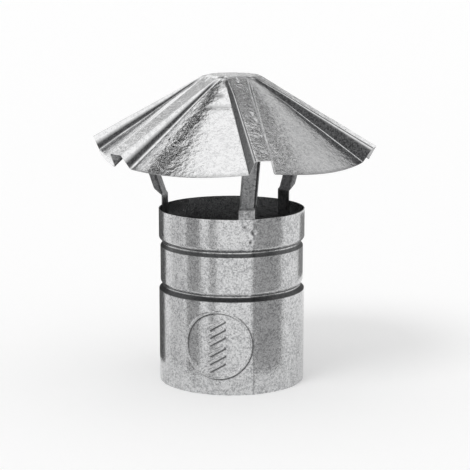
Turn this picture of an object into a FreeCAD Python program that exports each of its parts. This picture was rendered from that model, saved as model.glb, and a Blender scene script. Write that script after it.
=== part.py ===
import FreeCAD, Part
import math
import os

os.makedirs("parts", exist_ok=True)

# Chimney cap in galvanised sheet steel: a collar that slips over the flue pipe, three
# straps spot-welded inside it, and a pressed hat with six raised ribs that keeps the rain out.
# Millimetres and degrees. The collar's axis is Z, its lower rim lies at Z = 0, and the
# front rib and the front strap point along -Y.

# Sheet thicknesses
COLLAR_SHEET = 0.6
HAT_SHEET = 0.6
STRAP_SHEET = 0.8

# Collar
FLUE_DIAMETER = 120.0
FLUE_CLEARANCE = 0.25
COLLAR_HEIGHT = 145.0
BEAD_DROPS = (24.0, 60.3)
BEAD_HEIGHT = 7.2
BEAD_DEPTH = 3.4
BEAD_ENTRY = 3.0
BEAD_ROOT = 1.4
MIDDLE_BAND_STEP = 1.2

# Lap of the collar's sheet, seen from the strap in front
LAP_AZIMUTH = 5.0
LAP_WIDTH = 10.0
LAP_TAPER = 5.0

# Round stamp on the collar
STAMP_AZIMUTH = -22.4
STAMP_HEIGHT = 41.7
STAMP_DIAMETER = 57.0
STAMP_LINE = 2.2
STAMP_RISE = 0.5

# Hat
HAT_TOP = 255.8
HAT_CROWN_RADIUS = 13.0
PANEL_RIM_RADIUS = 114.6
PANEL_RIM_HEIGHT = 189.3
PANEL_SHOULDER_RADIUS = 21.0
RIB_COUNT = 6
RIB_RIM_REACH = 7.0
RIB_RIM_RISE = 11.7
RIB_SHOULDER_RADIUS = 21.5
RIB_TOP_HALF_WIDTH = 6.9
RIB_BASE_HALF_WIDTH = 9.9
RIB_ROOT = 27.0

# Straps
STRAP_COUNT = 3
STRAP_HALF_WIDTH = 6.7
STRAP_LEAN = 20.0
STRAP_TAB_DEPTH = 15.0
STRAP_BEND_RISE = 8.3
STRAP_FLANGE = 4.5
STRAP_FLANGE_TAPER = 7.0
STRAP_FLANGE_GAP = 8.0
STRAP_WELD_HALF_WIDTH = 4.6
STRAP_WELD_LENGTH = 26.0
STRAP_BEND_RADIUS = 2.0
STRAP_KNEE_RADIUS = 3.0

# Sizes that follow from them
bore_radius = FLUE_DIAMETER / 2 + FLUE_CLEARANCE
collar_radius = bore_radius + COLLAR_SHEET
rib_rim_radius = PANEL_RIM_RADIUS + RIB_RIM_REACH
rib_rim_height = PANEL_RIM_HEIGHT + RIB_RIM_RISE
panel_fall = (HAT_TOP - PANEL_RIM_HEIGHT) / (PANEL_RIM_RADIUS - PANEL_SHOULDER_RADIUS)
rib_fall = (HAT_TOP - rib_rim_height) / (rib_rim_radius - RIB_SHOULDER_RADIUS)
panel_slope = math.atan(panel_fall)
rib_slope = math.atan(rib_fall)
rib_width = 2 * RIB_BASE_HALF_WIDTH
below_hat = PANEL_RIM_HEIGHT - 2 * rib_width
past_rim = rib_rim_radius + rib_width / 2
Z_AXIS = FreeCAD.Vector(0, 0, 1)
ORIGIN = FreeCAD.Vector(0, 0, 0)


def offset_path(points, distance):
    """Parallel copy of an open path in the XZ plane, to the left of its direction."""
    def shifted(start, end):
        along = (end - start).normalize()
        return start + FreeCAD.Vector(-along.z, 0, along.x) * distance

    moved = [shifted(points[0], points[1])]
    for before, corner, after in zip(points, points[1:], points[2:]):
        along_in = (corner - before).normalize()
        along_out = (after - corner).normalize()
        half_turn = along_in.getAngle(along_out) / 2
        mitre = (FreeCAD.Vector(-along_in.z, 0, along_in.x)
                 + FreeCAD.Vector(-along_out.z, 0, along_out.x)).normalize()
        moved.append(corner + mitre * (distance / math.cos(half_turn)))
    moved.append(shifted(points[-2], points[-1]) + (points[-1] - points[-2]))
    return moved


def offset_radii(points, radii, distance):
    """Corner radii of that parallel copy: smaller on the inside of a turn, larger outside."""
    changed = []
    for before, corner, after, radius in zip(points, points[1:], points[2:], radii):
        turn_left = ((corner - before).cross(after - corner)).y < 0
        changed.append(radius - distance if turn_left else radius + distance)
    return changed


def rounded_path(points, radii):
    """Edges of a path through the points, with an arc of its own radius at each inner one."""
    edges = []
    start = points[0]
    for corner, after, radius in zip(points[1:], points[2:], radii):
        along_in = (corner - start).normalize()
        along_out = (after - corner).normalize()
        half_turn = along_in.getAngle(along_out) / 2
        setback = radius * math.tan(half_turn)
        arc_start = corner - along_in * setback
        arc_end = corner + along_out * setback
        inward = (along_out - along_in).normalize()
        arc_middle = corner + inward * (radius / math.cos(half_turn) - radius)
        edges.append(Part.LineSegment(start, arc_start).toShape())
        edges.append(Part.Arc(arc_start, arc_middle, arc_end).toShape())
        start = arc_end
    edges.append(Part.LineSegment(start, points[-1]).toShape())
    return edges


def crisp_section(points, thickness):
    """Closed face of a sheet with crisp corners: the path and its parallel copy."""
    return polygon_face(points + offset_path(points, thickness)[::-1])


def sheet_section(points, radii, thickness):
    """Closed face of a bent sheet: the path, its parallel copy and the two cut ends."""
    near = rounded_path(points, radii)
    moved = offset_path(points, thickness)
    far = rounded_path(moved, offset_radii(points, radii, thickness))
    ends = [Part.LineSegment(points[0], moved[0]).toShape(),
            Part.LineSegment(points[-1], moved[-1]).toShape()]
    return Part.Face(Part.Wire(Part.__sortEdges__(near + far + ends)))


def polygon_face(corners):
    """Flat face with straight sides through the corners."""
    return Part.Face(Part.makePolygon(list(corners) + [corners[0]]))


def on_xz(x, z):
    """Point in the XZ plane, where X is the distance from the axis."""
    return FreeCAD.Vector(x, 0, z)


def spun(face):
    """Body made by turning a face of the XZ plane once about the collar's axis."""
    return face.revolve(ORIGIN, Z_AXIS, 360)


def turned(shape, azimuth):
    """Copy of a shape that points along +X, turned to an azimuth counted from -Y."""
    copy = shape.copy()
    copy.rotate(ORIGIN, Z_AXIS, azimuth - 90)
    return copy


# Collar
def collar_path(radius):
    """Outside of the collar from its lower rim to its upper one, with the two rolled beads."""
    points = [on_xz(radius, 0)]
    bands = (radius, radius - MIDDLE_BAND_STEP, radius)
    for index, drop in reversed(list(enumerate(BEAD_DROPS))):
        top = COLLAR_HEIGHT - drop
        points.append(on_xz(bands[index + 1], top - BEAD_HEIGHT))
        points.append(on_xz(radius - BEAD_DEPTH, top - BEAD_ENTRY - BEAD_ROOT))
        points.append(on_xz(radius - BEAD_DEPTH, top - BEAD_ENTRY))
        points.append(on_xz(bands[index], top))
    points.append(on_xz(radius, COLLAR_HEIGHT))
    return points


def lap_strip(points):
    """Outer layer of the lap: a strip one sheet proud, thinned to nothing away from its edge."""
    wide = math.degrees(LAP_WIDTH / collar_radius)
    sunk = COLLAR_SHEET / 2
    face = crisp_section(offset_path(points, -COLLAR_SHEET), COLLAR_SHEET + sunk)
    strip = face.revolve(ORIGIN, Z_AXIS, -wide)
    edge_angle = math.radians(-wide)
    outward = FreeCAD.Vector(math.cos(edge_angle), math.sin(edge_angle), 0)
    along = FreeCAD.Vector(-outward.y, outward.x, 0)
    thin_end = outward * collar_radius
    slope = along * LAP_TAPER + outward * COLLAR_SHEET
    low, high = thin_end - slope, thin_end + slope * 2
    taper = polygon_face([low, high, high + outward * LAP_WIDTH, low + outward * LAP_WIDTH])
    return turned(strip.cut(taper.extrude(Z_AXIS * COLLAR_HEIGHT)), LAP_AZIMUTH)


def stamp_ring(inner_radius, outer_radius):
    """Ring pressed outwards, between two radii of the collar."""
    rim = STAMP_DIAMETER / 2
    start = math.sqrt(inner_radius ** 2 - rim ** 2) - STAMP_LINE
    centre = FreeCAD.Vector(start, 0, STAMP_HEIGHT)
    across = FreeCAD.Vector(1, 0, 0)
    reach = outer_radius + STAMP_LINE - start
    ring = Part.makeCylinder(rim, reach, centre, across)
    ring = ring.cut(Part.makeCylinder(rim - STAMP_LINE, reach, centre, across))
    shell = Part.makeCylinder(outer_radius, COLLAR_HEIGHT).cut(Part.makeCylinder(inner_radius, COLLAR_HEIGHT))
    return turned(ring.common(shell), STAMP_AZIMUTH)


def make_collar():
    """Rolled, beaded and lapped tube with the round stamp pressed out of its wall."""
    points = collar_path(collar_radius)
    tube = spun(crisp_section(points, COLLAR_SHEET))
    tube = tube.fuse(lap_strip(points))
    return tube.fuse(stamp_ring(collar_radius - COLLAR_SHEET / 2, collar_radius + STAMP_RISE))


# Hat
def panel_height(radius):
    """Height of the hat's recessed cone at a distance from the axis."""
    return PANEL_RIM_HEIGHT + (PANEL_RIM_RADIUS - radius) * panel_fall


def rib_height(radius):
    """Height of a rib's sloping top, before the crown cuts it off."""
    return rib_rim_height + (rib_rim_radius - radius) * rib_fall


def panel_body(depth):
    """Everything under the crown and the recessed cone, this far under the hat's skin."""
    shoulder_radius = (PANEL_SHOULDER_RADIUS - HAT_CROWN_RADIUS) / math.tan(panel_slope / 2)
    skin = [on_xz(past_rim, panel_height(past_rim)), on_xz(PANEL_SHOULDER_RADIUS, HAT_TOP), on_xz(0, HAT_TOP)]
    path = offset_path(skin, depth)
    edges = rounded_path(path, [shoulder_radius - depth])
    sides = [path[-1], on_xz(0, below_hat), on_xz(path[0].x, below_hat), path[0]]
    sides = [Part.LineSegment(start, end).toShape() for start, end in zip(sides, sides[1:])]
    return spun(Part.Face(Part.Wire(Part.__sortEdges__(edges + sides))))


def rib_section(distance, base_half_width, base_height, depth):
    """Section of a rib across its length: a flat top and two leaning walls, down to below the hat."""
    top = rib_height(distance)
    run = base_half_width - RIB_TOP_HALF_WIDTH
    drop = top - base_height
    slant = math.hypot(run, drop)
    inner_top = top - depth / math.cos(rib_slope)
    inner_corner = RIB_TOP_HALF_WIDTH - depth * slant / drop + run * (top - inner_top) / drop
    foot_drop = drop + rib_width / 2
    foot_half_width = inner_corner + run * foot_drop / drop

    def at(across, height):
        return FreeCAD.Vector(distance, across, height)

    half = [at(inner_corner, inner_top), at(foot_half_width, inner_top - foot_drop),
            at(foot_half_width, below_hat)]
    other = [FreeCAD.Vector(point.x, -point.y, point.z) for point in reversed(half)]
    return Part.makePolygon(half + other + half[:1])


def rib_body(depth):
    """A rib from the axis to beyond the rim, this far under the skin, cut off at the crown."""
    root_drop = panel_height(math.hypot(RIB_ROOT, RIB_BASE_HALF_WIDTH))
    rim_drop = panel_height(math.hypot(past_rim, RIB_BASE_HALF_WIDTH))
    sections = [
        rib_section(0, RIB_TOP_HALF_WIDTH, HAT_TOP, depth),
        rib_section(RIB_ROOT, RIB_BASE_HALF_WIDTH, root_drop, depth),
        rib_section(past_rim, RIB_BASE_HALF_WIDTH, rim_drop, depth),
    ]
    rib = Part.makeLoft(sections, True, True)
    crown = Part.makeBox(past_rim, 2 * rib_width, HAT_TOP - depth, FreeCAD.Vector(0, -rib_width, 0))
    return rib.common(crown)


def hat_body(depth):
    """Ribs and cone together, this far under the hat's skin."""
    rib = rib_body(depth)
    ribs = [turned(rib, index * 360 / RIB_COUNT) for index in range(RIB_COUNT)]
    return panel_body(depth).multiFuse(ribs)


def rim_cut():
    """Inside of the cone along which the pressed disc's edge was cut."""
    flare = RIB_RIM_REACH / RIB_RIM_RISE
    low_radius = PANEL_RIM_RADIUS - (PANEL_RIM_HEIGHT - below_hat) * flare
    high_radius = PANEL_RIM_RADIUS + (HAT_TOP - PANEL_RIM_HEIGHT) * flare
    return Part.makeCone(low_radius, high_radius, HAT_TOP - below_hat, on_xz(0, below_hat), Z_AXIS)


def make_hat():
    """Hat pressed from one disc: its outer body less the same body one sheet further in."""
    shell = hat_body(0).cut(hat_body(HAT_SHEET))
    return shell.common(rim_cut()).removeSplitter()


# Straps
def strap_path():
    """Outer side of a strap: up from the collar, out to the rib, then in along its top."""
    seat = math.sqrt(bore_radius ** 2 - STRAP_HALF_WIDTH ** 2)
    bend = COLLAR_HEIGHT + STRAP_BEND_RISE
    lean = math.tan(math.radians(STRAP_LEAN))
    under_rib = rib_height(0) - HAT_SHEET / math.cos(rib_slope)
    rise = (under_rib - seat * rib_fall - bend) / (1 + lean * rib_fall)
    top = on_xz(seat + rise * lean, bend + rise)
    inward = on_xz(-math.cos(rib_slope), math.sin(rib_slope))
    return [on_xz(seat, bend - STRAP_KNEE_RADIUS), on_xz(seat, bend), top, top + inward * STRAP_WELD_LENGTH]


def strap_web(path):
    """The strap's flat, in full width to the flanges' end and in the width of its weld tab."""
    face = sheet_section(path, [STRAP_KNEE_RADIUS, STRAP_BEND_RADIUS + STRAP_SHEET], STRAP_SHEET)
    narrow = face.extrude(FreeCAD.Vector(0, 2 * STRAP_WELD_HALF_WIDTH, 0))
    narrow.translate(FreeCAD.Vector(0, -STRAP_WELD_HALF_WIDTH, 0))
    wide = face.extrude(FreeCAD.Vector(0, 2 * STRAP_HALF_WIDTH, 0))
    wide.translate(FreeCAD.Vector(0, -STRAP_HALF_WIDTH, 0))
    flange_end = path[2].z - STRAP_FLANGE_GAP
    lower = Part.makeBox(4 * bore_radius, 4 * STRAP_HALF_WIDTH, flange_end,
                         FreeCAD.Vector(0, -2 * STRAP_HALF_WIDTH, 0))
    return narrow.fuse(wide.common(lower))


def strap_flanges(path):
    """Two flanges turned outwards along the leaning stretch, tapered at their lower end."""
    along = (path[2] - path[1]).normalize()
    outward = on_xz(along.z, -along.x)
    inner_face = path[1] - outward * STRAP_SHEET
    length = (path[2].z - STRAP_FLANGE_GAP - path[1].z) / along.z
    outline = [inner_face, inner_face + along * length,
               path[1] + along * length + outward * STRAP_FLANGE,
               path[1] + along * STRAP_FLANGE_TAPER + outward * STRAP_FLANGE, path[1]]
    plate = polygon_face(outline).extrude(FreeCAD.Vector(0, STRAP_SHEET, 0))
    left = plate.copy()
    left.translate(FreeCAD.Vector(0, -STRAP_HALF_WIDTH, 0))
    right = plate.copy()
    right.translate(FreeCAD.Vector(0, STRAP_HALF_WIDTH - STRAP_SHEET, 0))
    return left, right


def strap_tab():
    """Curved tab that lies against the inside of the collar and stands up above its rim."""
    bottom = COLLAR_HEIGHT - STRAP_TAB_DEPTH
    height = STRAP_TAB_DEPTH + STRAP_BEND_RISE
    wall = Part.makeCylinder(bore_radius, height, on_xz(0, bottom))
    hollow = Part.makeCylinder(bore_radius - STRAP_SHEET, height, on_xz(0, bottom))
    slice_box = Part.makeBox(bore_radius, 2 * STRAP_HALF_WIDTH, height,
                             FreeCAD.Vector(0, -STRAP_HALF_WIDTH, bottom))
    return wall.cut(hollow).common(slice_box)


def make_strap():
    """One strap pointing along +X: curved tab, flanged web and weld tab, bent from one strip."""
    path = strap_path()
    left, right = strap_flanges(path)
    return strap_web(path).multiFuse([left, right, strap_tab()]).removeSplitter()


# The finished pieces
collar = make_collar()
hat = make_hat()
strap = make_strap()
pieces = {"collar": collar, "hat": hat}
strap_names = ("strap_front", "strap_right", "strap_left")
for index, name in enumerate(strap_names[:STRAP_COUNT]):
    pieces[name] = turned(strap, index * 360 / STRAP_COUNT)

for name, shape in pieces.items():
    shape.exportStep("parts/" + name + ".step")
    box = shape.BoundBox
    print(name, "solids", len(shape.Solids), "valid", shape.isValid(), "volume", round(shape.Volume, 1),
          "x", round(box.XMin, 2), round(box.XMax, 2), "y", round(box.YMin, 2), round(box.YMax, 2),
          "z", round(box.ZMin, 2), round(box.ZMax, 2))
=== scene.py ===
import math
import bpy
import numpy as np
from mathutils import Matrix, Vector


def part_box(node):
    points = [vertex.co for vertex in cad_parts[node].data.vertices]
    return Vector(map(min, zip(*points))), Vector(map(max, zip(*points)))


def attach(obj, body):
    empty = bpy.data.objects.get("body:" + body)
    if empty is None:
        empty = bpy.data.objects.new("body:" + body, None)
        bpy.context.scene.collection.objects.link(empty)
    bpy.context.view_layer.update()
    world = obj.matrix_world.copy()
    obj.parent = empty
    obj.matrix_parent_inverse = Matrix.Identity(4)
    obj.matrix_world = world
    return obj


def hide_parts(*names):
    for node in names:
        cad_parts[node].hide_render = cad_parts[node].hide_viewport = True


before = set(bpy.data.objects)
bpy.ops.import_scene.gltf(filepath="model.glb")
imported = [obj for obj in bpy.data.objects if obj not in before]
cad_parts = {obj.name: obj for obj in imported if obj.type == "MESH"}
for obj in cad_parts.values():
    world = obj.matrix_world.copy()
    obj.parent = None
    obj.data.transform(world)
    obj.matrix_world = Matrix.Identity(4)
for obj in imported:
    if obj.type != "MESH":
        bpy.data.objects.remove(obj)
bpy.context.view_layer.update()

# Hat: one disc of 0.6 mm galvanised sheet, pressed into a cone with a small flat crown and
# six raised ribs that stand open at the rim. The press leaves round corners along the ribs
# and slightly uneven panels between them.
MM = 0.001
hat_low, hat_high = (np.array(corner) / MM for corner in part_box("hat"))
HAT_SHEET = 0.6
HAT_TOP = hat_high[2]
RIB_COUNT = 6
RIB_RIM = (-hat_low[1], 201.0)
RIB_SLOPE = math.radians(28.7)
RIB_SHOULDER = (21.5, 13.7)
RIB_HALF_WIDTH = (6.9, 8.1)
RIB_FLARE = (18.0, 46.0)
RIB_BASE_HALF_WIDTH = 10.0
RIB_CORNER = 1.8
RIB_FOOT = 2.2
CORNER_SHARE = 0.45
LEAST_DROP = 0.4
PANEL_RIM = (hat_high[0], 189.3)
PANEL_SLOPE = math.radians(35.4)
PANEL_SHOULDER = (21.0, 25.0)
PANEL_WOBBLE = 0.10
WOBBLE_LENGTHS = (9.3, 11.7, 14.9, 8.1)
WOBBLE_START = (12.0, 35.0)
WOBBLE_END = (92.0, 112.0)
PANEL_SAG = 2.2
SAG_START = 55.0
# The panel between ribs 4 and 5, counted from the front, is pushed nearly flat.
FLAT_PANEL = 4.5
FLAT_SHARE = 0.85
FLAT_REACH = (40.0, 100.0)
POCKET_BLEND = 0.7
POCKET_REACH = (17.0, 25.0)
STRAP_COUNT = 3
RIB_WELDS = ((1.5, 68.0), (3.0, 76.0))
RIB_WELD_SIZE = 2.3
RIB_WELD_DEPTH = 0.9
STEP_RADIUS = 52.0
STEP_TURNS = (-38.0, -11.0)
STEP_END = 0.08
STEP_WIDTH = (0.2, 1.8)
STEP_DEPTH = 0.5
# Grid of the hat's mesh: its columns' distances from a rib's axis, and its rows.
RIB_STATIONS = np.array([0.0, 0.9, 1.8, 2.7, 3.6, 4.6, 5.5, 5.9, 6.3, 6.7, 7.1, 7.5, 7.9, 8.4, 8.8, 9.1,
                         9.4, 9.7, 10.0, 10.4, 10.9, 11.6])
PANEL_COLUMNS = 11
COLUMN_SPREAD = (14.0, 40.0)
CROWN_ROW = 0.9
HUB_ROWS = 46
HUB_RADIUS = 31.0
SKIRT_ROWS = 58
RIM_ROUNDS = 24
SHARP_EDGE = math.radians(50.0)
# Dull zinc and painted shade: how much of it each place has, and the distances over which it fades.
DULL_ZINC_AND_SHADE = (0.035, 0.0355, 0.037)
SHADE_START = (22.0, 34.0)
# Painted shade: a dark line along each rib's foot.
FOOT_SHADE = 1.0
FOOT_LINE = (0.45, 1.0)
FOOT_SHIFT = 0.9
# Painted shade: a dark line just inside each rib's top corner, darker on one side of the rib.
CORNER_SHADE = (0.85, 0.2)
CORNER_LINE = (0.2, 0.8)
CORNER_SHIFT = 0.5
# Painted shade: one wall of each rib is darkened.
WALL_SHADE = 1.0
WALL_START = (0.1, 0.7)
WALL_END = 0.4
RIM_DULL = 0.35
RIM_WIDTH = 3.0
# Dark weld marks, and painted shade in the press step's groove, both set a little up the slope.
MARK_DULL_AND_SHADE = 1.3
MARK_DEEPEST = 0.35
MARK_SHIFT = 0.9
# Painted shade: a dark line round the crown's edge, on the panels.
CROWN_SHADE = 0.7
CROWN_FALL = 1.0
CROWN_LINE = (0.15, 0.5)
# Painted shade: the hollows where the ribs begin, on one side of each rib.
POCKET_SHADE = 0.85
POCKET_PLACE = (26.0, 9.6)
POCKET_STRETCH = 2.4
POCKET_LINE = (0.4, 3.4)
# A dark patch on a panel near the front.
DARK_PATCH = 0.55
PATCH_RADIUS = 40.6
PATCH_TURN = math.radians(-24.9)
PATCH_STRETCH = 0.6
PATCH_LINE = (0.6, 3.4)
# Painted shade: the whole underside of the hat is darkened.
UNDERSIDE_SHADE = 0.45
# Zinc: shares of its tone, gloss and relief, and its noises: size in crystals, detail and
# roughness of each, and the range of it that is used.
TONE_SHARES = (0.3, 0.35, 0.25, 0.1)
TONE_RANGE = (0.15, 0.7)
GLOSS_SHARES = (0.4, 0.3, 0.3)
RELIEF_SHARES = (0.3, 0.7)
WARP_SIZE = 1.25
WARP_SHARE = 0.8
CLOUD_NOISE = (9.0, 5.0, 0.6)
CLOUD_RANGE = (0.35, 0.68)
FINE_NOISE = (0.9, 4.0, 0.65)
FINE_RANGE = (0.38, 0.62)
GRAIN_NOISE = (0.4, 3.0, 0.7)
GRAIN_RANGE = (0.34, 0.66)
WAVE_NOISE = (3.6, 2.0, 0.5)
DARKENING_SHARES = (0.88, 0.14)
DARKENING_ROUGHNESS = 0.2
HAT_FINISH = {
    "bright": (0.9, 0.902, 0.905),
    "dark": (0.7, 0.703, 0.71),
    "gloss_range": (0.06, 0.15),
    "spangle": 0.003,
    "fine_relief": 0.00025,
    "wave_relief": 0.0004,
}


def smooth(value, start, end):
    """0 before start, 1 after end and the cubic 3t^2 - 2t^3 between."""
    t = np.clip((value - start) / (end - start), 0.0, 1.0)
    return t * t * (3.0 - 2.0 * t)


def shoulder_fall(distance, shoulder, slope):
    """Fall of a profile that is level, then an arc, then a straight slope. The level and the
    slope would meet at the shoulder's distance, and the arc is tangent to both."""
    meeting, radius = shoulder
    start = meeting - radius * math.tan(slope / 2)
    end = start + radius * math.sin(slope)
    bent = np.clip(distance, start, end) - start
    arc = radius - np.sqrt(radius ** 2 - bent ** 2)
    return arc + np.clip(distance - end, 0.0, None) * math.tan(slope)


def rib_top(along):
    """Height of a rib's top along its length."""
    return HAT_TOP - shoulder_fall(along, RIB_SHOULDER, RIB_SLOPE)


def panel_top(radius):
    """Height of the cone between the ribs."""
    return HAT_TOP - shoulder_fall(radius, PANEL_SHOULDER, PANEL_SLOPE)


def corner_arc(across, at, height, slope_in, slope_out, radius):
    """Two straight lines through (at, height), with an arc tangent to both: the tangent length
    is radius * tan(half the turn), and the arc's height is its centre's plus or minus the
    root of radius^2 - offset^2. Slopes are heights per unit across."""
    angle_in, angle_out = np.arctan(slope_in), np.arctan(slope_out)
    turn = angle_out - angle_in
    side = np.where(turn < 0, -1.0, 1.0)
    tangent = radius * np.tan(np.abs(turn) / 2)
    start = at - tangent * np.cos(angle_in)
    end = at + tangent * np.cos(angle_out)
    centre = start - side * radius * np.sin(angle_in)
    centre_height = height - tangent * np.sin(angle_in) + side * radius * np.cos(angle_in)
    offset = np.clip(across, start, end) - centre
    arc = centre_height - side * np.sqrt(np.clip(radius ** 2 - offset ** 2, 0.0, None))
    line = height + (across - at) * np.where(across < at, slope_in, slope_out)
    return np.where((across > start) & (across < end), arc, line)


def rib_surface(along, across):
    """Height over one rib and the cone beside it: level top, leaning wall, cone, with an arc
    at the top corner and one at the foot."""
    top = rib_top(along)
    narrow, wide = RIB_HALF_WIDTH
    edge = wide + (narrow - wide) * smooth(along, *RIB_FLARE)
    base = RIB_BASE_HALF_WIDTH
    foot_radius = np.hypot(along, base)
    foot = panel_top(foot_radius)
    drop = np.clip(top - foot, 0.0, None)
    wall = -drop / (base - edge)
    beside = -np.tan(PANEL_SLOPE) * base / foot_radius * (foot_radius > PANEL_SHOULDER[0])
    length = np.hypot(drop, base - edge)
    half_turn = np.abs(np.arctan(wall)) / 2 + 1e-4
    corner = np.minimum(RIB_CORNER, CORNER_SHARE * length / np.tan(half_turn))
    upper = corner_arc(across, edge, top, 0.0 * wall, wall, corner)
    lower = corner_arc(across, base, foot, wall, beside, RIB_FOOT)
    cone = panel_top(np.hypot(along, across))
    lower = np.where(across > base + RIB_FOOT, cone, lower)
    lower = np.where(drop > LEAST_DROP, lower, np.maximum(cone, foot + wall * (across - base)))
    return np.where(across < (edge + base) / 2, upper, lower)


def soft_greater(first, second, blend):
    """Greater of two heights, with the crease between them filled over the blend's height."""
    apart = np.clip(1.0 - np.abs(first - second) / blend, 0.0, 1.0)
    return np.maximum(first, second) + blend * apart ** 2 / 4


def uneven(x, y):
    """Shallow waves that pressing leaves in the sheet: a square one and two crossed ones, each
    a sine of the place over its length."""
    wide, deep, crossed, steep = WOBBLE_LENGTHS
    square = np.sin(x / wide + 1.1) * np.cos(y / deep)
    return PANEL_WOBBLE * (square + np.sin((x + y) / crossed) + 0.6 * np.sin((x - 1.7 * y) / steep + 2.0))


def hat_height(radius, angle):
    """Height of the hat's skin at a radius and an angle from the nearest rib, up to 30 degrees."""
    step = math.tau / RIB_COUNT
    own = rib_surface(radius * np.cos(angle), radius * np.sin(angle))
    other = rib_surface(radius * np.cos(step - angle), radius * np.sin(step - angle))
    blend = 0.001 + POCKET_BLEND * (1.0 - smooth(radius, *POCKET_REACH))
    return soft_greater(own, other, blend)


def hat_angles(radius, level):
    """Angles of the grid's columns from a rib to the next panel's middle: each follows its
    distance from the rib's axis far out, and they spread evenly in the crown."""
    half = math.pi / RIB_COUNT
    count = len(RIB_STATIONS)
    along_rib = np.arcsin(np.clip(RIB_STATIONS[np.minimum(level, count - 1)] / radius, 0.0, 0.5))
    last = np.arcsin(np.clip(RIB_STATIONS[-1] / radius, 0.0, 0.5))
    share = np.clip((level - count + 1) / PANEL_COLUMNS, 0.0, 1.0)
    aligned = np.where(level < count, along_rib, last + (half - last) * share)
    even = half * level / (count + PANEL_COLUMNS - 1)
    return even + (aligned - even) * smooth(radius, *COLUMN_SPREAD)


def hat_rim(level):
    """Radius at which each column meets the cone along which the disc's edge was cut: the
    cone's radius at the skin's height there, put in again until it stands still."""
    flare = (RIB_RIM[0] - PANEL_RIM[0]) / (RIB_RIM[1] - PANEL_RIM[1])
    radius = np.full(level.shape, PANEL_RIM[0])
    for _ in range(RIM_ROUNDS):
        height = hat_height(radius, hat_angles(radius, level))
        radius = PANEL_RIM[0] + (height - PANEL_RIM[1]) * flare
    return radius


def press_marks(radius, turn):
    """Depth of the spot welds over each strap, as the cosine's bowl, and of the step that the
    press left on a panel, as a shallow groove along an arc."""
    strapped = (turn + math.pi / STRAP_COUNT) % (math.tau / STRAP_COUNT) - math.pi / STRAP_COUNT
    across, along = radius * np.sin(strapped), radius * np.cos(strapped)
    depth = 0.0
    for right, out in RIB_WELDS:
        away = np.clip(np.hypot(across - right, along - out) / RIB_WELD_SIZE, 0.0, 1.0)
        depth = depth + RIB_WELD_DEPTH * (0.5 + 0.5 * np.cos(math.pi * away))
    turn = (turn + math.pi) % math.tau - math.pi
    first, last = (math.radians(end) for end in STEP_TURNS)
    inside = smooth(turn, first, first + STEP_END) * (1.0 - smooth(turn, last - STEP_END, last))
    return depth + STEP_DEPTH * inside * (1.0 - smooth(np.abs(radius - STEP_RADIUS), *STEP_WIDTH))


def hat_skin():
    """Grid of the hat's outer skin, rows from the crown to the rim, columns once around: the
    height over the cone and the ribs, with waves, the panels' sag and the press marks."""
    half_count = len(RIB_STATIONS) + PANEL_COLUMNS - 1
    level = np.concatenate([np.arange(half_count), np.arange(half_count, 0, -1)])
    mirrored = np.arange(2 * half_count) >= half_count
    level, mirrored = np.tile(level, RIB_COUNT), np.tile(mirrored, RIB_COUNT)
    rib = np.repeat(np.arange(RIB_COUNT), 2 * half_count) + mirrored
    rim = hat_rim(level)
    hub = np.linspace(CROWN_ROW, HUB_RADIUS, HUB_ROWS)[:, None] + 0.0 * rim
    skirt = np.linspace(0.0, 1.0, SKIRT_ROWS + 1)[1:, None]
    radius = np.concatenate([hub, HUB_RADIUS + (rim - HUB_RADIUS) * skirt])
    angle = hat_angles(radius, level)
    height = hat_height(radius, angle)
    turn = rib * math.tau / RIB_COUNT + np.where(mirrored, -angle, angle) - math.pi / 2
    uneven_share = smooth(radius, *WOBBLE_START) * (1.0 - smooth(radius, *WOBBLE_END))
    from_middle = math.pi / RIB_COUNT - angle
    open_half = math.pi / RIB_COUNT - math.asin((RIB_BASE_HALF_WIDTH + RIB_FOOT) / PANEL_RIM[0])
    share = np.clip(1.0 - np.abs(from_middle) / open_half, 0.0, 1.0)
    between = (rib + np.where(mirrored, -0.5, 0.5)) % RIB_COUNT
    flat = FLAT_SHARE * (between == FLAT_PANEL) * smooth(radius, *FLAT_REACH)
    chord = math.cos(open_half) / np.cos(np.minimum(np.abs(from_middle), open_half))
    outwards = smooth(radius, SAG_START, PANEL_RIM[0])
    sag = PANEL_SAG * outwards * np.sin(share * math.pi / 2) * (1.0 - flat)
    radius = radius * (1.0 - flat * (1.0 - chord) * (share > 0))
    x, y = radius * np.cos(turn), radius * np.sin(turn)
    marks = press_marks(radius, turn + math.pi / 2)
    return np.stack([x, y, height + uneven(x, y) * uneven_share - sag - marks], axis=-1)


def grid_normals(grid):
    """Unit normals of a grid that closes on itself around: the cross product of its differences
    along rows and columns."""
    rows = np.gradient(grid, axis=0)
    columns = (np.roll(grid, -1, axis=1) - np.roll(grid, 1, axis=1)) / 2
    normals = np.cross(rows, columns)
    return normals / np.linalg.norm(normals, axis=-1, keepdims=True)


def grid_quads(rows, columns, first, closed):
    """Four corner numbers of each cell of a grid whose points start at number first."""
    across = np.arange(columns if closed else columns - 1)
    row, column = np.meshgrid(np.arange(rows - 1), across, indexing="ij")
    after = (column + 1) % columns
    corners = [row * columns + column, (row + 1) * columns + column,
               (row + 1) * columns + after, row * columns + after]
    return first + np.stack(corners, axis=-1).reshape(-1, 4)


def mesh_piece(name, points, faces, dull_and_shade):
    """Object at the origin from points in millimetres, smooth apart from its sharp edges.
    Each point's share of dull grey zinc and painted shade goes into the attribute that the finish reads."""
    mesh = bpy.data.meshes.new(name)
    mesh.from_pydata((np.asarray(points) * MM).tolist(), [], faces)
    shares = mesh.attributes.new("dull_and_shade", "FLOAT", "POINT")
    shares.data.foreach_set("value", np.asarray(dull_and_shade, np.float32).ravel())
    mesh.validate()
    mesh.shade_smooth()
    mesh.set_sharp_from_angle(angle=SHARP_EDGE)
    piece = bpy.data.objects.new(name, mesh)
    bpy.context.scene.collection.objects.link(piece)
    return piece


def on_line(distance, core, reach):
    """1 within a line's core and 0 beyond its reach, with a smooth step between."""
    return 1.0 - smooth(np.abs(distance), core, reach)


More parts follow.
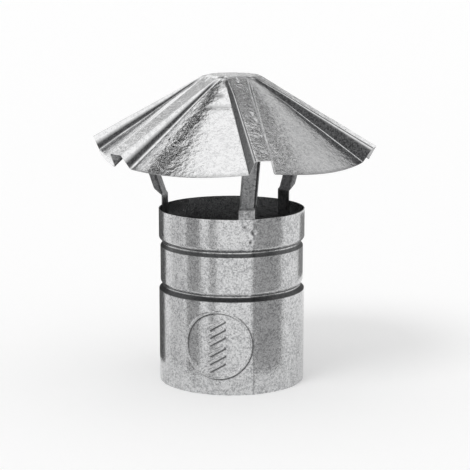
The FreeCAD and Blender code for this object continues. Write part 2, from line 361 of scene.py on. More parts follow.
def hat_dull_and_shade(outer):
    """Share of dull zinc and painted shade: painted shade in lines along the ribs' feet and beside
    their top corners, on one wall of each rib, in the press step's groove, along the crown's edge
    and in the hollows where the ribs begin; dull zinc at the cut rim and the weld marks; one dark patch."""
    radius = np.hypot(outer[..., 0], outer[..., 1])
    turn = np.arctan2(outer[..., 1], outer[..., 0]) + math.pi / 2
    step = math.tau / RIB_COUNT
    off = (turn + step / 2) % step - step / 2
    across, along = radius * np.sin(np.abs(off)), radius * np.cos(off)
    narrow, wide = RIB_HALF_WIDTH
    edge = wide + (narrow - wide) * smooth(along, *RIB_FLARE)
    out = smooth(radius, *SHADE_START)
    # Painted shade along the ribs' feet and beside their top corners.
    foot = FOOT_SHADE * on_line(across - RIB_BASE_HALF_WIDTH + FOOT_SHIFT, *FOOT_LINE) * out
    corner = np.where(off < 0, *CORNER_SHADE) * on_line(across - edge + CORNER_SHIFT, *CORNER_LINE) * out
    wall_start, wall_full = WALL_START
    wall = smooth(across, edge + wall_start, edge + wall_full)
    wall = wall * (1.0 - smooth(across, RIB_BASE_HALF_WIDTH, RIB_BASE_HALF_WIDTH + WALL_END))
    # Painted shade on one wall of each rib.
    shaded_wall = WALL_SHADE * wall * (off < 0) * out
    rim = RIM_DULL * smooth(radius, PANEL_RIM[0] - RIM_WIDTH, PANEL_RIM[0]) * (across > RIB_BASE_HALF_WIDTH)
    marks = MARK_DULL_AND_SHADE * np.minimum(press_marks(radius + MARK_SHIFT, turn), MARK_DEEPEST)
    # Painted shade along the crown's edge and in the hollows where the ribs begin.
    crown = CROWN_SHADE * on_line(HAT_TOP - outer[..., 2] - CROWN_FALL, *CROWN_LINE) * (across > edge)
    from_pocket = np.hypot((along - POCKET_PLACE[0]) / POCKET_STRETCH, across - POCKET_PLACE[1])
    hollow = POCKET_SHADE * on_line(from_pocket, *POCKET_LINE) * (off < 0)
    # One dark patch on a panel.
    patch_out = radius * np.cos(turn - PATCH_TURN) - PATCH_RADIUS
    patch_aside = PATCH_STRETCH * radius * np.sin(turn - PATCH_TURN)
    patch = DARK_PATCH * on_line(np.hypot(patch_out, patch_aside), *PATCH_LINE)
    darkening = np.maximum(crown + hollow, patch)
    return np.clip(np.maximum(foot + corner + rim + marks + darkening, shaded_wall), 0.0, 1.0)


def pressed_hat():
    """The hat's mesh: its outer skin, the same skin one sheet further in, and the cut edge."""
    outer = hat_skin()
    # The underside gets painted shade.
    underside = np.full(outer[..., 0].size, UNDERSIDE_SHADE)
    dull_and_shade = np.concatenate([hat_dull_and_shade(outer).ravel(), underside, [0.0, UNDERSIDE_SHADE]])
    inner = outer - grid_normals(outer) * HAT_SHEET
    rows, columns = outer.shape[:2]
    count = rows * columns
    crown = [[0.0, 0.0, HAT_TOP], [0.0, 0.0, HAT_TOP - HAT_SHEET]]
    points = np.concatenate([outer.reshape(-1, 3), inner.reshape(-1, 3), crown])
    column = np.arange(columns)
    after = (column + 1) % columns
    edge = (rows - 1) * columns
    rim = np.stack([edge + column, count + edge + column, count + edge + after, edge + after], axis=-1)
    faces = grid_quads(rows, columns, 0, True).tolist()
    faces += grid_quads(rows, columns, count, True)[:, ::-1].tolist()
    faces += rim.tolist()
    faces += np.stack([np.full(columns, 2 * count), column, after], axis=-1).tolist()
    faces += np.stack([np.full(columns, 2 * count + 1), count + after, count + column], axis=-1).tolist()
    return mesh_piece("hat_sheet", points, faces, dull_and_shade)


class Shade:
    """One shader value: arithmetic on it adds Math nodes to the material that it belongs to."""

    def __init__(self, socket):
        self.socket = socket

    @staticmethod
    def node(tree, kind, settings=None, values=None, output=0):
        """Any other node: its settings first, then the values or links of its sockets."""
        made = tree.nodes.new(kind)
        for name, value in (settings or {}).items():
            setattr(made, name, value)
        for name, value in (values or {}).items():
            if isinstance(value, Shade):
                tree.links.new(value.socket, made.inputs[name])
            else:
                made.inputs[name].default_value = value
        return Shade(made.outputs[output])

    def maths(self, operation, first, second):
        """One Math node on two values."""
        sockets = {0: first, 1: second}
        return Shade.node(self.socket.id_data, "ShaderNodeMath", {"operation": operation}, sockets)

    def __add__(self, other):
        return self.maths("ADD", self, other)

    __radd__ = __add__

    def __rsub__(self, other):
        return self.maths("SUBTRACT", other, self)

    def __mul__(self, other):
        return self.maths("MULTIPLY", self, other)

    __rmul__ = __mul__

    def between(self, start, end):
        """0 up to start, 1 from end, and a smooth step between."""
        return Shade.node(self.socket.id_data, "ShaderNodeMapRange", {"interpolation_type": "SMOOTHSTEP"},
                          {"Value": self, "From Min": start, "From Max": end})


def zinc_finish(name, bright, dark, gloss_range, spangle, fine_relief, wave_relief):
    """Hot-dip zinc on sheet steel: crystals of slightly different tone, gloss and tilt, cloudy
    areas between them, and dull grey zinc and painted shade where the mesh asks for it. The
    spangle is a crystal's size, and it and the reliefs are in metres."""
    material = bpy.data.materials.new(name)
    material.use_nodes = True
    tree = material.node_tree
    shader = tree.nodes["Principled BSDF"]
    shader.inputs["Metallic"].default_value = 1.0
    place = Shade.node(tree, "ShaderNodeTexCoord", output="Object")

    def noise(size, detail, roughness):
        sockets = {"Vector": place, "Scale": 1.0 / (size * spangle), "Detail": detail, "Roughness": roughness}
        return Shade.node(tree, "ShaderNodeTexNoise", {}, sockets)

    warp = Shade.node(tree, "ShaderNodeTexNoise", {},
                      {"Vector": place, "Scale": 1.0 / (WARP_SIZE * spangle), "Detail": 2.0}, "Color")
    bent = Shade.node(tree, "ShaderNodeMix", {"data_type": "VECTOR"},
                      {4: place, 5: warp, 0: WARP_SHARE * spangle}, 1)
    cells = Shade.node(tree, "ShaderNodeTexVoronoi", {}, {"Vector": bent, "Scale": 1.0 / spangle}, "Color")
    crystal_tone, crystal_gloss, crystal_tilt = (
        Shade.node(tree, "ShaderNodeSeparateColor", {}, {"Color": cells}, part) for part in range(3))
    cloud = noise(*CLOUD_NOISE).between(*CLOUD_RANGE)
    fine = noise(*FINE_NOISE)
    grain = noise(*GRAIN_NOISE).between(*GRAIN_RANGE)
    wave = noise(*WAVE_NOISE)
    dull_and_shade = Shade.node(tree, "ShaderNodeAttribute", {"attribute_name": "dull_and_shade"}, {}, "Fac")
    by_crystal, by_grain, by_fine, by_cloud = TONE_SHARES
    tone = by_crystal * crystal_tone + by_grain * grain + by_fine * fine.between(*FINE_RANGE)
    tone = tone + by_cloud * (1.0 - cloud)
    zinc = Shade.node(tree, "ShaderNodeMix", {"data_type": "RGBA"},
                      {0: tone.between(*TONE_RANGE), 6: (*dark, 1.0), 7: (*bright, 1.0)}, 2)
    # The near-black colour mixed in here is painted shade in most places, and dull zinc at the rim, the lap
    # and the welds.
    least_darkening, more_darkening = DARKENING_SHARES
    darkening = dull_and_shade * (least_darkening + more_darkening * grain)
    colour = Shade.node(tree, "ShaderNodeMix", {"data_type": "RGBA"},
                        {0: darkening, 6: zinc, 7: (*DULL_ZINC_AND_SHADE, 1.0)}, 2)
    smoothest, roughest = gloss_range
    by_crystal, by_cloud, by_grain = GLOSS_SHARES
    gloss = by_crystal * crystal_gloss + by_cloud * cloud + by_grain * grain
    rough = smoothest + (roughest - smoothest) * gloss + DARKENING_ROUGHNESS * dull_and_shade
    by_crystal, by_fine = RELIEF_SHARES
    relief = by_crystal * crystal_tilt + by_fine * fine
    near = Shade.node(tree, "ShaderNodeBump", {},
                      {"Height": relief, "Strength": 1.0, "Distance": fine_relief})
    bump = Shade.node(tree, "ShaderNodeBump", {},
                      {"Height": wave, "Strength": 1.0, "Distance": wave_relief, "Normal": near})
    tree.links.new(colour.socket, shader.inputs["Base Color"])
    tree.links.new(rough.socket, shader.inputs["Roughness"])
    tree.links.new(bump.socket, shader.inputs["Normal"])
    return material


hat = pressed_hat()
hat.data.materials.append(zinc_finish("hat_zinc", **HAT_FINISH))
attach(hat, "root")
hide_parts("hat")


# Collar: a strip of the same sheet rolled into a tube, lapped and spot-welded, with two beads
# rolled into it. The flue pipe stops at the lower bead. A round stamp is pressed out of its
# wall: a ring with plain slanted bars inside it.
collar_high = np.array(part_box("collar")[1]) / MM
COLLAR_SHEET = 0.6
COLLAR_RADIUS = collar_high[0]
COLLAR_HEIGHT = collar_high[2]
BEAD_DROPS = (60.3, 24.0)
BEAD_HEIGHT = 7.2
BEAD_DEPTH = 3.4
BEAD_LOWEST = 0.52
BEAD_RADII = (0.9, 1.2, 3.0)
MIDDLE_STEP = 1.2
LAP_TURN = 5.0
LAP_FADE = (1.0, 10.0)
# The lap's ragged edge: its height on the collar and its turn there, in degrees.
LAP_EDGE = ((0.0, 9.1), (20.0, 6.0), (60.0, 3.3), (118.0, 3.6), (128.0, 7.6), (136.0, 3.9), (141.0, 5.9),
            (145.0, 7.4))
LAP_PULL = 6.0
ROLL_WAVES = ((0.05, 9.0, 0.6), (0.04, 16.0, 2.0))
ROLL_TWIST = 60.0
STAMP_TURN = -22.3
STAMP_HEIGHT = 41.75
STAMP_RADIUS = 27.4
STAMP_LINE = 1.2
STAMP_RISE = 0.95
STAMP_SHADE = 0.8
STAMP_SPAN = 31.0
BAR_PLACES = ((-1.0, 17.0), (-1.0, 10.5), (-1.0, 4.0), (-1.0, -5.0), (-1.0, -11.5), (-1.0, -18.0))
BAR_HALF_LENGTH = 6.5
BAR_SLANT = math.radians(30.0)
BAR_WIDTH = 1.7
LINE_TOP = 0.35
COLLAR_WELDS = ((-1.0, 139.3), (5.2, 134.6), (3.6, 127.0))
WELD_SIZE = 2.4
WELD_DEPTH = 0.55
WELD_DULL = 0.8
# Painted reflection of the hat's dark underside on the beads' lower walls.
BEAD_PAINTED_REFLECTION = 0.95
# Painted shadow: dark zinc beside the lower right of the stamp's raised lines.
STAMP_SHADOW = 1.3
LAP_DULL = 0.45
LAP_SHIFT = 0.4
LAP_LINE = (0.2, 0.8)
# Painted shade: the whole inside of the collar is darkened.
LINING_SHADE = 0.2
WELD_SHIFT = (0.7, 0.6)
BEAD_STEEPNESS = 1.8
# Grid of the collar's mesh: rows in millimetres, columns in degrees.
ARC_POINTS = 7
STAMP_ROW = 0.62
BEAD_ROW = 3.0
BAND_ROW = 0.9
STAMP_COLUMN = 0.56
STAMP_GAP = 1.0
LAP_COLUMNS = np.array([-0.6, -0.15, 0.0, 0.05, 0.25, 1.0, 2.2])
REST_COLUMNS = 108
REST_GAP = 2.0
COLLAR_FINISH = {
    "bright": (0.7, 0.703, 0.707),
    "dark": (0.28, 0.283, 0.29),
    "gloss_range": (0.12, 0.24),
    "spangle": 0.0014,
    "fine_relief": 0.00006,
    "wave_relief": 0.00012,
}


def rounded_path(points, radii, arc_steps):
    """Points of a path with an arc at each inner corner, tangent to both of its sides."""
    points = [np.array(point, float) for point in points]
    path = [points[0]]
    for before, corner, after, radius in zip(points, points[1:], points[2:], radii):
        along_in = (corner - before) / np.linalg.norm(corner - before)
        along_out = (after - corner) / np.linalg.norm(after - corner)
        turn = math.acos(np.clip(along_in @ along_out, -1.0, 1.0))
        inward = (along_out - along_in) / np.linalg.norm(along_out - along_in)
        centre = corner + inward * radius / math.cos(turn / 2)
        steps = np.linspace(-0.5, 0.5, arc_steps)[:, None] * turn
        across = (along_in + along_out) / np.linalg.norm(along_in + along_out)
        path.extend(centre + radius * (np.sin(steps) * across - np.cos(steps) * inward))
    path.append(points[-1])
    return np.array(path)


def resampled(path, longest):
    """Path with points added so that no stretch is longer than a length."""
    pieces = []
    for start, end in zip(path, path[1:]):
        count = max(1, math.ceil(np.linalg.norm(end - start) / longest))
        pieces.append(start + (end - start) * np.arange(count)[:, None] / count)
    return np.concatenate(pieces + [path[-1:]])


def collar_profile():
    """Outside of the collar from the lower rim up, as distance from the axis and height."""
    points = [(COLLAR_RADIUS, 0.0)]
    bands = (COLLAR_RADIUS, COLLAR_RADIUS - MIDDLE_STEP, COLLAR_RADIUS)
    for index, drop in enumerate(BEAD_DROPS):
        top = COLLAR_HEIGHT - drop
        points.append((bands[index], top - BEAD_HEIGHT))
        points.append((COLLAR_RADIUS - BEAD_DEPTH, top - BEAD_LOWEST * BEAD_HEIGHT))
        points.append((bands[index + 1], top))
    points.append((COLLAR_RADIUS, COLLAR_HEIGHT))
    path = rounded_path(points, BEAD_RADII * 2, ARC_POINTS)
    stamp_end = np.array([[COLLAR_RADIUS, STAMP_HEIGHT + STAMP_SPAN]])
    low = resampled(np.concatenate([path[:1], stamp_end]), STAMP_ROW)
    middle = resampled(np.concatenate([stamp_end, path[1:-1]]), BEAD_ROW)
    high = resampled(path[-2:], BAND_ROW)
    return np.concatenate([low, middle[1:-1], high])


def bar_distance(across, up, place):
    """Distance from the nearest point of a slanted bar's middle line."""
    right, high = across - place[0], up - place[1]
    along = right * math.cos(BAR_SLANT) + high * math.sin(BAR_SLANT)
    beside = high * math.cos(BAR_SLANT) - right * math.sin(BAR_SLANT)
    return np.hypot(np.clip(np.abs(along) - BAR_HALF_LENGTH, 0.0, None), beside)


def stamp_rise(turn, height):
    """Rise of the stamp's ring and bars above the wall, with sloped sides."""
    across = (turn - math.radians(STAMP_TURN)) * COLLAR_RADIUS
    up = height - STAMP_HEIGHT
    ring = np.abs(np.hypot(across, up) - STAMP_RADIUS)
    rise = 1.0 - smooth(ring, STAMP_LINE * LINE_TOP, STAMP_LINE)
    for place in BAR_PLACES:
        bar = 1.0 - smooth(bar_distance(across, up, place), BAR_WIDTH * LINE_TOP, BAR_WIDTH)
        rise = np.maximum(rise, bar)
    return STAMP_RISE * rise


def weld_dents(across, up):
    """Round dents of spot welds: the cosine's bowl inside the electrode's size."""
    depth = 0.0
    for right, high in COLLAR_WELDS:
        away = np.clip(np.hypot(across - right, up - high) / WELD_SIZE, 0.0, 1.0)
        depth = depth + 0.5 + 0.5 * np.cos(math.pi * away)
    return depth


def collar_dull_and_shade(turn, height, profile, steps):
    """Share of dull zinc and painted light: painted reflection of the hat's dark underside on the
    beads' lower walls, painted shadow beside the lower right sides of the stamp's raised lines, and
    dull zinc at the lap's edge and the weld dents."""
    lean = steps[:, 0] / np.hypot(steps[:, 0], steps[:, 1])
    # Painted reflection on the beads' lower walls.
    falling = np.clip(-lean * BEAD_STEEPNESS, 0.0, 1.0) * (profile[:, 1] > BEAD_HEIGHT)
    side = STAMP_SHADE / COLLAR_RADIUS
    # Painted shadow below and right of the stamp's raised lines.
    beside = stamp_rise(turn - side, height + STAMP_SHADE) - stamp_rise(turn, height)
    stamp = STAMP_SHADOW * np.clip(beside, 0.0, None) / STAMP_RISE
    seam = LAP_DULL * on_line((turn - math.radians(LAP_TURN)) * COLLAR_RADIUS - LAP_SHIFT, *LAP_LINE)
    welds = WELD_DULL * weld_dents(turn * COLLAR_RADIUS + WELD_SHIFT[0], height + WELD_SHIFT[1])
    return np.clip(BEAD_PAINTED_REFLECTION * falling[:, None] + stamp + seam + welds, 0.0, 1.0)


def collar_turns():
    """Turns of the grid's columns: close together across the stamp and at the lap."""
    reach = math.degrees(STAMP_SPAN / COLLAR_RADIUS)
    stamp = np.arange(STAMP_TURN - reach, min(STAMP_TURN + reach, LAP_TURN - STAMP_GAP), STAMP_COLUMN)
    lap = LAP_TURN + LAP_COLUMNS
    rest = np.linspace(lap[-1] + REST_GAP, stamp[0] + 360.0 - REST_GAP, REST_COLUMNS)
    return np.radians(np.concatenate([stamp, lap, rest]))


def rolled_collar():
    """The collar's mesh: the wall's outside going up and its inside coming down, one sheet
    further in, with the lap, the stamp, the weld dents and the waves that rolling leaves."""
    profile = collar_profile()
    steps = np.gradient(profile, axis=0)
    inward = np.stack([-steps[:, 1], steps[:, 0]], axis=-1)
    inward /= np.linalg.norm(inward, axis=-1, keepdims=True)
    lining = profile + inward * COLLAR_SHEET
    turns = collar_turns()
    height = profile[:, 1][:, None]
    heights, edge = zip(*LAP_EDGE)
    shift = np.radians(np.interp(height, heights, edge) - LAP_TURN)
    near = np.exp(-((turns - math.radians(LAP_TURN)) / math.radians(LAP_PULL)) ** 2)
    moved = turns + shift * near
    behind = (math.radians(LAP_TURN) - turns) * COLLAR_RADIUS
    lap = COLLAR_SHEET * np.where(behind >= 0, 1.0 - smooth(behind, *LAP_FADE), 0.0)
    (long_depth, long_count, long_phase), (short_depth, short_count, short_phase) = ROLL_WAVES
    rolled = long_depth * np.sin(turns * long_count + long_phase)
    rolled = rolled + short_depth * np.sin(turns * short_count + short_phase + height / ROLL_TWIST)
    pressed = stamp_rise(moved, height) - WELD_DEPTH * weld_dents(moved * COLLAR_RADIUS, height)
    outside = profile[:, 0][:, None] + lap + pressed + rolled
    inside = lining[:, 0][:, None] + pressed + rolled
    surface = [(outside, moved, height), (inside[::-1], moved[::-1], lining[:, 1][::-1][:, None])]
    rows = [np.stack([r * np.sin(t), -r * np.cos(t), z + 0.0 * t], axis=-1) for r, t, z in surface]
    grid = np.concatenate(rows)
    count, columns = grid.shape[:2]
    points = grid.reshape(-1, 3)
    faces = grid_quads(count, columns, 0, True)
    column = np.arange(columns)
    after = (column + 1) % columns
    last = (count - 1) * columns
    foot = np.stack([last + column, column, after, last + after], axis=-1)
    faces = np.concatenate([faces, foot])[:, ::-1]
    # The inside gets painted shade.
    lining_shade = np.full(outside.shape, LINING_SHADE)
    dull_and_shade = np.concatenate([collar_dull_and_shade(moved, height, profile, steps), lining_shade])
    return mesh_piece("collar_sheet", points, faces.tolist(), dull_and_shade)


collar = rolled_collar()
collar.data.materials.append(zinc_finish("collar_zinc", **COLLAR_FINISH))
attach(collar, "root")
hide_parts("collar")


# Straps: three strips of 0.8 mm galvanised steel with flanges turned outwards for stiffness.
# Each is welded inside the collar by its curved tab, leans out by 20 degrees, and bends in
# under every second rib of the hat, where its end is welded to the rib's top.
STRAP_NAMES = ("strap_front", "strap_right", "strap_left")
STRAP_SHEET = 0.8
STRAP_HALF_WIDTH = 6.7
STRAP_LEAN = math.radians(20.0)
STRAP_BEND_RISE = 8.3
STRAP_FLANGE = 4.5
STRAP_FLANGE_TAPER = 7.0
STRAP_FLANGE_GAP = 8.0
STRAP_TAB_CURVE = 6.0
STRAP_WELD_HALF_WIDTH = 4.6
STRAP_WELD_LENGTH = 26.0
STRAP_NARROWING = (9.0, 7.0)
STRAP_EDGE = 1.3
STRAP_KNEE = 3.0
STRAP_BEND = 2.8
STRAP_ROW = 1.1
STRAP_ARC_POINTS = 8
WEB_POINTS = 6
EDGE_POINTS = 6
FLANGE_POINTS = 5
LEAST_SHARE = 0.02
LEAST_FLANGE = 0.01
# Painted shade: dark lines along the flanges' bends, and the whole back face darkened.
FLANGE_SHADE = 0.6
# Painted shade: the web darkened above the knee, under the hat.
WEB_SHADE = 0.34
WEB_START = 2.0
# Painted shade: a dark line across the knee.
KNEE_SHADE = 0.7
KNEE_LINE = (0.3, 1.4)
# The straps' zinc is far darker than the hat's: painted shade under the hat.
STRAP_SHADED_FINISH = {
    "bright": (0.43, 0.433, 0.437),
    "dark": (0.16, 0.162, 0.166),
    "gloss_range": (0.14, 0.3),
    "spangle": 0.002,
    "fine_relief": 0.00008,
    "wave_relief": 0.0001,
}
strap_low = np.array(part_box("strap_front")[0]) / MM


def strap_line():
    """Outer face of a strap's middle, from the tab's foot up, as distance from the axis and
    height, then the height of the knee and that of the bend under the rib. The tab stands on
    the collar's bore, and the lean ends where it meets the line of the rib's underside."""
    bore = COLLAR_RADIUS - COLLAR_SHEET
    seat = math.sqrt(bore ** 2 - STRAP_HALF_WIDTH ** 2)
    knee = COLLAR_HEIGHT + STRAP_BEND_RISE
    under = HAT_SHEET / math.cos(RIB_SLOPE)
    ceiling = RIB_RIM[1] + RIB_RIM[0] * math.tan(RIB_SLOPE) - under
    lean = math.tan(STRAP_LEAN)
    rise = (ceiling - seat * math.tan(RIB_SLOPE) - knee) / (1.0 + lean * math.tan(RIB_SLOPE))
    top = np.array([seat + rise * lean, knee + rise])
    end = top + STRAP_WELD_LENGTH * np.array([-math.cos(RIB_SLOPE), math.sin(RIB_SLOPE)])
    points = [(seat, strap_low[2]), (seat, knee), tuple(top), tuple(end)]
    path = rounded_path(points, (STRAP_KNEE, STRAP_BEND), STRAP_ARC_POINTS)
    return resampled(path, STRAP_ROW), knee, top[1]


def strap_section(half, flange):
    """Half of a strap's section from its middle out: level web, quarter arc, upright flange.
    Gives places across, places up and the turn of the sheet's back at each point."""
    share = np.maximum(smooth(flange, 0.0, STRAP_EDGE), LEAST_SHARE)
    web = np.linspace(0.0, 1.0, WEB_POINTS)
    bend = np.linspace(0.0, math.pi / 2, EDGE_POINTS)[1:]
    side = np.linspace(0.0, 1.0, FLANGE_POINTS)[1:]
    edge = STRAP_EDGE * share
    inner = half - STRAP_SHEET * share
    across = np.concatenate([(inner - edge) * web, inner - edge + edge * np.sin(bend), inner + 0.0 * side])
    upright = edge + np.maximum(flange - edge, LEAST_FLANGE) * side
    up = np.concatenate([0.0 * web, edge * (1.0 - np.cos(bend)), upright])
    turn = np.concatenate([0.0 * web, bend, math.pi / 2 + 0.0 * side]) * share
    return across, up, turn


def bent_strap(name, turn):
    """A strap's mesh: a section across at each point of its line, with two flanges where the
    strap leans, then the same surface one sheet behind it, and the cut edge around both."""
    line, knee, top = strap_line()
    along = np.gradient(line, axis=0)
    along /= np.linalg.norm(along, axis=-1, keepdims=True)
    outward = np.stack([along[:, 1], -along[:, 0]], axis=-1)
    height = line[:, 1]
    travelled = np.concatenate([[0.0], np.cumsum(np.linalg.norm(np.diff(line, axis=0), axis=-1))])
    bend_at = travelled[np.argmax(height >= top - 0.5)]
    flange = STRAP_FLANGE * np.clip((height - knee) / STRAP_FLANGE_TAPER, 0.0, 1.0)
    flange = flange * (travelled < bend_at - STRAP_FLANGE_GAP)
    narrow_from, narrow_to = STRAP_NARROWING
    narrowed = smooth(travelled, bend_at - narrow_from, bend_at - narrow_to)
    half = STRAP_HALF_WIDTH + (STRAP_WELD_HALF_WIDTH - STRAP_HALF_WIDTH) * narrowed
    sections = np.array([strap_section(*row) for row in zip(half, flange)])
    mirror = np.array([-1.0, 1.0, -1.0])[None, :, None]
    sections = np.concatenate([(sections * mirror)[:, :, :0:-1], sections], axis=-1)
    across, up, roll = sections[:, 0], sections[:, 1], sections[:, 2]
    bore = COLLAR_RADIUS - COLLAR_SHEET
    seat = math.sqrt(bore ** 2 - STRAP_HALF_WIDTH ** 2)
    curved = 1.0 - smooth(height, knee - STRAP_TAB_CURVE, knee)
    bowed = (np.sqrt(bore ** 2 - across ** 2) - seat) * curved[:, None]
    faces = []
    for depth in (0.0, STRAP_SHEET):
        out = up - depth * np.cos(roll)
        faces.append(np.stack([line[:, 0][:, None] + outward[:, 0][:, None] * out + bowed,
                               across + depth * np.sin(roll),
                               line[:, 1][:, None] + outward[:, 1][:, None] * out], axis=-1))
    rows, columns = faces[0].shape[:2]
    count = rows * columns
    quads = [grid_quads(rows, columns, 0, False)[:, ::-1], grid_quads(rows, columns, count, False)]
    border = np.concatenate([np.arange(columns), np.arange(1, rows) * columns + columns - 1,
                             (rows - 1) * columns + np.arange(columns - 2, -1, -1),
                             np.arange(rows - 2, 0, -1) * columns])
    following = np.roll(border, -1)
    quads.append(np.stack([border, following, following + count, border + count], axis=-1)[:, ::-1])
    points = np.concatenate([face.reshape(-1, 3) for face in faces])
    cosine, sine = math.cos(turn - math.pi / 2), math.sin(turn - math.pi / 2)
    x = points[:, 0] * cosine - points[:, 1] * sine
    y = points[:, 0] * sine + points[:, 1] * cosine
    points = np.stack([x, y, points[:, 2]], axis=-1)
    # Painted shade along the flanges' bends, across the knee, on the web above it and on the back face.
    bend = np.abs(across) > (half - STRAP_EDGE)[:, None]
    edges = FLANGE_SHADE * bend * (flange > 0.5)[:, None]
    knee_line = KNEE_SHADE * on_line(height - knee, *KNEE_LINE)[:, None]
    web = WEB_SHADE * smooth(height, knee, knee + WEB_START)[:, None]
    front = np.maximum(np.maximum(edges, knee_line), web)
    dull_and_shade = np.concatenate([front.ravel(), np.full(count, FLANGE_SHADE)])
    return mesh_piece(name, points, np.concatenate(quads).tolist(), dull_and_shade)


# The straps get the darker zinc, which is painted shade.
shaded_strap_zinc = zinc_finish("shaded_strap_zinc", **STRAP_SHADED_FINISH)
for index, node in enumerate(STRAP_NAMES):
    strap = bent_strap(node + "_strip", index * math.tau / STRAP_COUNT)
    strap.data.materials.append(shaded_strap_zinc)
    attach(strap, "root")
    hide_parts(node)


# Stage: a wide white floor under a white surround, a soft lamp high on the left, and cards
# out of view that give the metal something grey or dark to mirror, as a studio's walls do.
FLOOR_COLOUR = (0.9, 0.9, 0.9)
FLOOR_LIFT = 0.2
FLOOR_ROUGHNESS = 0.9
FLOOR_GLOSS = 0.1
FLOOR_REACH = 20.0
WHITE = (1.0, 1.0, 1.0, 1.0)
BLACK = (0.0, 0.0, 0.0, 1.0)
SURROUND_LIGHT = 0.68
LAMP_LIGHT = 0.8
LAMP_TURN = -38.0
LAMP_RISE = 48.0
LAMP_SPREAD = math.radians(25.0)
CAMERA_TURN = math.radians(11.63)
CAMERA_DISTANCE = 1346.0
CAMERA_HEIGHT = 375.1
CAMERA_PITCH = 0.1862
CAMERA_FOCAL = 1636.8
FRAME_PIXELS = 470
AXIS_COLUMN = 231.6
SENSOR_WIDTH = 36.0
FARTHEST = 60.0
# Each card: turn from the camera (right is positive) and rise as seen from the collar's or the
# hat's middle, distance, width and height in metres, and its level, where white is 1.
COLLAR_MIDDLE = 0.07
COLLAR_CARDS = {
    "card_side_left": (-48.5, 0.0, 0.12, 0.04, 0.22, 0.42),
    "card_far_left": (-75.0, 0.0, 0.12, 0.05, 0.22, 0.75),
    "card_narrow_left": (-21.8, 0.0, 0.12, 0.018, 0.22, 0.52),
    "card_side_right": (46.2, 0.0, 0.12, 0.09, 0.22, 0.43),
    "card_back_left": (-124.0, 0.0, 0.1, 0.08, 0.22, 0.12),
    "card_back_right": (126.0, 18.0, 0.105, 0.08, 0.065, 0.3),
}
HAT_MIDDLE = 0.215
HAT_CARDS = {
    "card_band": (-138.0, 61.3, 2.2, 0.9, 0.44, 0.0),
    "card_left_rib": (-156.0, 37.0, 2.2, 0.4, 0.42, 0.36),
    "card_crown": (177.0, 7.0, 2.2, 0.5, 0.24, 0.36),
    "card_shoulder": (171.0, 32.0, 2.3, 0.85, 1.5, 0.36),
    "card_high_right": (150.0, 62.0, 2.2, 1.5, 0.5, 0.6),
    "card_blind_low": (153.0, 58.8, 2.1, 1.1, 0.16, 0.0),
    "card_blind_high": (150.0, 66.0, 2.1, 1.3, 0.17, 0.0),
    "card_right": (143.0, 46.0, 2.4, 1.8, 1.05, 0.54),
    "card_low_right": (152.0, 31.0, 2.2, 0.9, 0.46, 0.2),
}


def toward(turn, rise):
    """Unit direction from the cap at a turn from the camera and a rise, both in degrees."""
    heading = CAMERA_TURN - math.radians(turn)
    climb = math.radians(rise)
    level = math.cos(climb)
    return np.array([-math.sin(heading) * level, -math.cos(heading) * level, math.sin(climb)])


def stage_plane(name, corners):
    """Flat stage piece through four corners in metres."""
    mesh = bpy.data.meshes.new(name)
    mesh.from_pydata(corners, [], [(0, 1, 2, 3)])
    piece = bpy.data.objects.new(name, mesh)
    bpy.context.scene.collection.objects.link(piece)
    return piece


def background_rays(tree):
    """1 for what the camera, a mirror or a glass shows, and 0 for the light that falls on things."""
    rays = tree.nodes.new("ShaderNodeLightPath")
    shown = Shade(rays.outputs["Is Camera Ray"]) + Shade(rays.outputs["Is Glossy Ray"])
    return shown + Shade(rays.outputs["Is Transmission Ray"])


def white_floor():
    """Matt floor, lifted a little where it is seen so that it meets the white surround."""
    reach = FLOOR_REACH
    corners = [(-reach, -reach, 0.0), (reach, -reach, 0.0), (reach, reach, 0.0), (-reach, reach, 0.0)]
    floor = stage_plane("floor", corners)
    material = bpy.data.materials.new("floor_paint")
    material.use_nodes = True
    shader = material.node_tree.nodes["Principled BSDF"]
    shader.inputs["Base Color"].default_value = (*FLOOR_COLOUR, 1.0)
    shader.inputs["Roughness"].default_value = FLOOR_ROUGHNESS
    shader.inputs["Specular IOR Level"].default_value = FLOOR_GLOSS
    shader.inputs["Emission Strength"].default_value = 1.0
    lift = FLOOR_LIFT * background_rays(material.node_tree)
    glow = Shade.node(material.node_tree, "ShaderNodeMix", {"data_type": "RGBA"},
                      {0: lift, 6: BLACK, 7: WHITE}, 2)
    material.node_tree.links.new(glow.socket, shader.inputs["Emission Color"])
    floor.data.materials.append(material)


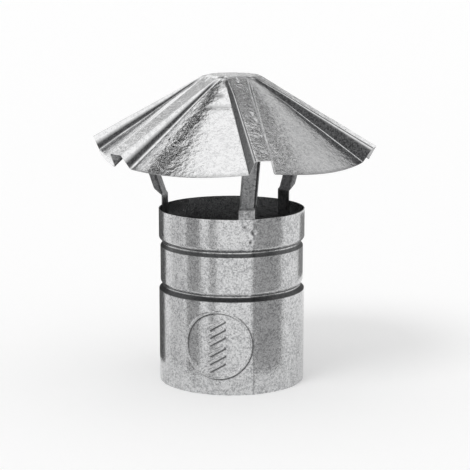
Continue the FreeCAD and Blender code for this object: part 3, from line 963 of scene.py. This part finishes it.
def surround_and_lamp():
    """White world that lights things at less than it shows, and one soft lamp."""
    world = bpy.data.worlds.new("surround")
    bpy.context.scene.world = world
    world.use_nodes = True
    back = world.node_tree.nodes["Background"]
    back.inputs["Color"].default_value = WHITE
    level = SURROUND_LIGHT + (1.0 - SURROUND_LIGHT) * background_rays(world.node_tree)
    world.node_tree.links.new(level.socket, back.inputs["Strength"])
    lamp = bpy.data.lights.new("lamp", "SUN")
    lamp.energy = LAMP_LIGHT
    lamp.angle = LAMP_SPREAD
    holder = bpy.data.objects.new("lamp", lamp)
    holder.visible_glossy = False
    bpy.context.scene.collection.objects.link(holder)
    x, y, z = toward(LAMP_TURN, LAMP_RISE)
    holder.rotation_euler = (math.acos(z), 0.0, math.atan2(y, x) + math.pi / 2)


def studio_card(name, middle, turn, rise, distance, width, height, level):
    """Card that faces the cap, gives no light to matt things and shows only in mirrors."""
    out = toward(turn, rise)
    side = np.cross(out, (0.0, 0.0, 1.0))
    side /= np.linalg.norm(side)
    up = np.cross(side, out)
    centre = out * distance + np.array([0.0, 0.0, middle])
    corners = [centre + across * side * width / 2 + rise_by * up * height / 2
               for across, rise_by in ((-1, -1), (1, -1), (1, 1), (-1, 1))]
    card = stage_plane(name, [tuple(corner) for corner in corners])
    material = bpy.data.materials.new(name)
    material.use_nodes = True
    shader = material.node_tree.nodes["Principled BSDF"]
    shader.inputs["Base Color"].default_value = BLACK
    shader.inputs["Specular IOR Level"].default_value = 0.0
    shader.inputs["Emission Color"].default_value = WHITE
    shader.inputs["Emission Strength"].default_value = level
    card.data.materials.append(material)
    card.visible_camera = False
    card.visible_shadow = False
    card.visible_diffuse = False


def photo_camera():
    """Camera at the photograph's distance, height and turn about the cap."""
    camera_data = bpy.data.cameras.new("camera")
    camera_data.sensor_width = SENSOR_WIDTH
    camera_data.lens = CAMERA_FOCAL / FRAME_PIXELS * SENSOR_WIDTH
    camera_data.clip_end = FARTHEST
    camera = bpy.data.objects.new("camera", camera_data)
    aim = (FRAME_PIXELS / 2 - AXIS_COLUMN) / CAMERA_FOCAL
    camera.location = (-CAMERA_DISTANCE * MM * math.sin(CAMERA_TURN),
                       -CAMERA_DISTANCE * MM * math.cos(CAMERA_TURN), CAMERA_HEIGHT * MM)
    camera.rotation_euler = (math.pi / 2 - CAMERA_PITCH, 0.0, -(CAMERA_TURN + aim))
    bpy.context.scene.collection.objects.link(camera)
    bpy.context.scene.camera = camera


white_floor()
surround_and_lamp()
for middle, cards in ((COLLAR_MIDDLE, COLLAR_CARDS), (HAT_MIDDLE, HAT_CARDS)):
    for card_name, card_facts in cards.items():
        studio_card(card_name, middle, *card_facts)
photo_camera()
bpy.context.scene.view_settings.view_transform = "Standard"
